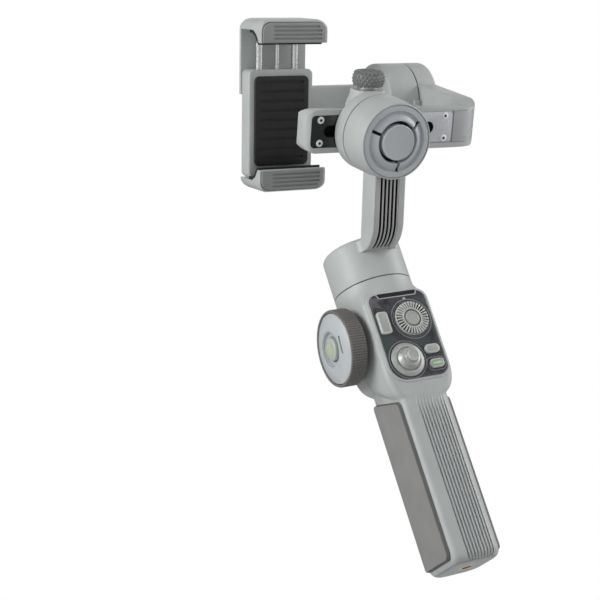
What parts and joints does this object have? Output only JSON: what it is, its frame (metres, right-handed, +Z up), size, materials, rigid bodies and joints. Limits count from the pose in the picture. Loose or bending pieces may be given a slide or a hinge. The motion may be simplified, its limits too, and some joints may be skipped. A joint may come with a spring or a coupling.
{
  "type": "phone gimbal stabiliser",
  "caption": "Handheld motor gimbal for a phone: upright handle with focus wheel and control panel, pan, roll and tilt arms, and a sprung phone clamp.",
  "frame": {"origin": "mouth of the tripod thread, at the bottom of the handle", "axes": "+Z up the handle, -Y towards the user, +X to the user's right"},
  "size_m": [0.1109, 0.1243, 0.3188],
  "materials": {
    "body_plastic": "satin",
    "dark_plastic": "matte",
    "inlay_plastic": "matte",
    "button_plastic": "satin",
    "smoked_window": "gloss",
    "grip_rubber": "matte",
    "black_rubber": "matte",
    "brass": "machined",
    "steel": "machined",
    "aluminium": "brushed",
    "windings": "gloss",
    "board": "satin",
    "cell": "satin",
    "cap_plastic": "satin",
    "plate_metal": "polished"
  },
  "bodies": {
    "handle": {"rear_shell": "body_plastic", "front_shell": "body_plastic", "shell_screws": "steel", "left_grip_pad": "grip_rubber", "right_grip_pad": "grip_rubber", "base_cap": "dark_plastic", "thread_insert": "brass", "battery_cell": "cell", "main_board": "board", "control_board": "board", "panel_window": "smoked_window", "dial_post": "dark_plastic", "joystick_collar": "aluminium", "charging_port": "steel", "wheel_axle": "dark_plastic", "trigger_pin": "steel", "pan_base": "body_plastic", "pan_stator": "windings", "pan_bearings": "steel"},
    "wheel": {"focus_wheel": "dark_plastic", "wheel_disc": "aluminium"},
    "wheel_press": {"wheel_button": "button_plastic"},
    "dial": {"dial_ring": "button_plastic"},
    "dial_press": {"dial_button": "button_plastic"},
    "record_press": {"record_button": "button_plastic"},
    "menu_press": {"menu_button": "button_plastic"},
    "mode_press": {"mode_button": "button_plastic"},
    "yoke": {"joystick_yoke": "dark_plastic"},
    "stick": {"joystick_stick": "aluminium"},
    "trigger_lever": {"trigger": "dark_plastic"},
    "pan_head": {"pan_cover": "body_plastic", "pan_rotor": "steel", "pan_arm": "body_plastic", "arm_inlay": "inlay_plastic", "roll_cover": "body_plastic", "roll_cap_ring": "cap_plastic", "roll_cap_disc": "cap_plastic", "roll_stator": "windings", "roll_bearings": "steel"},
    "roll_head": {"roll_housing": "body_plastic", "roll_rotor": "steel"},
    "knob": {"lock_knob": "dark_plastic", "lock_screw": "steel"},
    "arm": {"cross_arm": "body_plastic", "arm_plate": "plate_metal", "plate_screws": "steel", "corner_cover": "body_plastic", "tilt_housing": "body_plastic", "tilt_stator": "windings", "tilt_bearings": "steel"},
    "clamp": {"tilt_cover": "body_plastic", "tilt_rotor": "steel", "clamp_arm": "body_plastic", "clamp_body": "body_plastic", "lower_jaw": "body_plastic", "lower_jaw_rubber": "black_rubber", "clamp_spring": "steel"},
    "jaw": {"upper_jaw": "body_plastic", "upper_jaw_rubber": "black_rubber", "guide_rods": "steel"}
  },
  "joints": [
    {"name": "wheel_spin", "type": "hinge", "parent": "handle", "child": "wheel", "pos_m": [-0.027, 0.0028, 0.1251], "axis": [1, 0, 0], "continuous": true},
    {"name": "wheel_button_press", "type": "slide", "parent": "handle", "child": "wheel_press", "axis": [1, 0, 0], "range_m": [0, 0.0006], "stiffness_N_per_m": 600, "springref_m": -0.0005},
    {"name": "dial_spin", "type": "hinge", "parent": "handle", "child": "dial", "pos_m": [0.0046, -0.01865, 0.1276], "axis": [0, -1, 0], "continuous": true},
    {"name": "dial_button_press", "type": "slide", "parent": "handle", "child": "dial_press", "axis": [0, 1, 0], "range_m": [0, 0.0006], "stiffness_N_per_m": 600, "springref_m": -0.0005},
    {"name": "record_button_press", "type": "slide", "parent": "handle", "child": "record_press", "axis": [0, 1, 0], "range_m": [0, 0.0006], "stiffness_N_per_m": 600, "springref_m": -0.0005},
    {"name": "menu_button_press", "type": "slide", "parent": "handle", "child": "menu_press", "axis": [0, 1, 0], "range_m": [0, 0.0006], "stiffness_N_per_m": 600, "springref_m": -0.0005},
    {"name": "mode_button_press", "type": "slide", "parent": "handle", "child": "mode_press", "axis": [0, 1, 0], "range_m": [0, 0.0006], "stiffness_N_per_m": 600, "springref_m": -0.0005},
    {"name": "joystick_x", "type": "hinge", "parent": "handle", "child": "yoke", "pos_m": [-0.005, -0.01705, 0.1061], "axis": [1, 0, 0], "range_deg": [-15, 15], "stiffness_Nm_per_rad": 0.01},
    {"name": "joystick_z", "type": "hinge", "parent": "yoke", "child": "stick", "pos_m": [-0.005, -0.01705, 0.1061], "axis": [0, 0, 1], "range_deg": [-15, 15], "stiffness_Nm_per_rad": 0.01},
    {"name": "trigger_pull", "type": "hinge", "parent": "handle", "child": "trigger_lever", "pos_m": [0, 0.01865, 0.1243], "axis": [-1, 0, 0], "range_deg": [0, 6], "stiffness_Nm_per_rad": 0.05, "springref_deg": -5.73},
    {"name": "pan_turn", "type": "hinge", "parent": "handle", "child": "pan_head", "pos_m": [0, 0.0025, 0.1535], "axis": [0, 0, 1], "range_deg": [-165, 165]},
    {"name": "roll_turn", "type": "hinge", "parent": "pan_head", "child": "roll_head", "pos_m": [0, -0.0544, 0.2171], "axis": [0, 0.7396, 0.673], "range_deg": [-235, 52]},
    {"name": "knob_turn", "type": "hinge", "parent": "roll_head", "child": "knob", "pos_m": [0.00187, -0.05547, 0.24309], "axis": [0.0436, -0.6724, 0.7389], "range_deg": [0, 180]},
    {"name": "arm_slide", "type": "slide", "parent": "roll_head", "child": "arm", "axis": [0.999, 0.0294, -0.0323], "range_m": [-0.02, 0.015]},
    {"name": "tilt_turn", "type": "hinge", "parent": "arm", "child": "clamp", "pos_m": [0, 0.00514, 0.27128], "axis": [0.999, 0.0294, -0.0323], "range_deg": [-126, 126]},
    {"name": "jaw_slide", "type": "slide", "parent": "clamp", "child": "jaw", "axis": [0.0434, -0.5914, 0.8052], "range_m": [-0.018, 0.004], "stiffness_N_per_m": 150}
  ]
}
